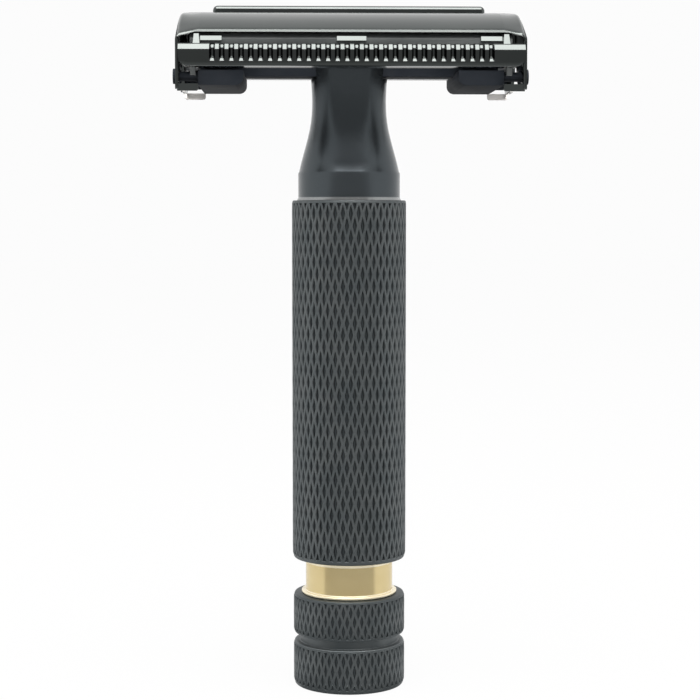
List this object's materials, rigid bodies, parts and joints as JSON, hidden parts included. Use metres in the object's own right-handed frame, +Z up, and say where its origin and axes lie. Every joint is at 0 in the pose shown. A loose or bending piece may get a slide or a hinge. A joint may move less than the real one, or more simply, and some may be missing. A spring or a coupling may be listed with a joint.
{
  "type": "safety razor",
  "caption": "Butterfly safety razor with knurled handle, brass collar, turning knob, scalloped guard and two hinged doors.",
  "frame": {"origin": "centre of the knob's flat foot, on the handle's axis", "axes": "+Z up the handle, X along the head, -Y towards the front door"},
  "size_m": [0.0444, 0.025, 0.0884],
  "materials": {
    "knurled_black": "black nickel over diamond knurling",
    "satin_black": "satin black nickel",
    "black_nickel": "polished gunmetal plating",
    "brass": "satin, faintly brushed round the axis",
    "steel": "machined"
  },
  "bodies": {
    "handle": {"handle_tube": "knurled_black", "neck": "satin_black", "base_plate": "black_nickel", "brass_collar": "brass", "rod_bush": "brass", "plate_rivet_front": "steel", "plate_rivet_rear": "steel", "guide_peg_front_left": "steel", "guide_peg_front_right": "steel", "guide_peg_rear_left": "steel", "guide_peg_rear_right": "steel"},
    "knob": {"knob": "knurled_black", "lift_screw": "steel", "thrust_washer": "steel", "retaining_clip": "steel"},
    "carrier": {"drive_nut": "brass", "push_rod": "steel", "brace_bar": "satin_black", "center_bar": "black_nickel", "hinge_pin_front_left": "black_nickel", "hinge_pin_front_right": "black_nickel", "hinge_pin_rear_left": "black_nickel", "hinge_pin_rear_right": "black_nickel"},
    "front_door": {"front_door": "black_nickel"},
    "rear_door": {"rear_door": "black_nickel"}
  },
  "joints": [
    {"name": "knob_turn", "type": "hinge", "parent": "handle", "child": "knob", "pos_m": [0, 0, 0.006], "axis": [0, 0, 1], "range_deg": [0, 540]},
    {"name": "carrier_lift", "type": "slide", "parent": "handle", "child": "carrier", "axis": [0, 0, 1], "range_m": [0, 0.0034]},
    {"name": "front_door_hinge", "type": "hinge", "parent": "carrier", "child": "front_door", "pos_m": [0, -0.008, 0.07885], "axis": [1, 0, 0], "range_deg": [0, 72]},
    {"name": "rear_door_hinge", "type": "hinge", "parent": "carrier", "child": "rear_door", "pos_m": [0, 0.008, 0.07885], "axis": [-1, 0, 0], "range_deg": [0, 72]}
  ],
  "couplings": [
    {"joint": "knob_turn", "follows": "carrier_lift", "rad_per_m": 2772},
    {"joint": "front_door_hinge", "follows": "carrier_lift", "rad_per_m": 369.6},
    {"joint": "rear_door_hinge", "follows": "carrier_lift", "rad_per_m": 369.6}
  ]
}
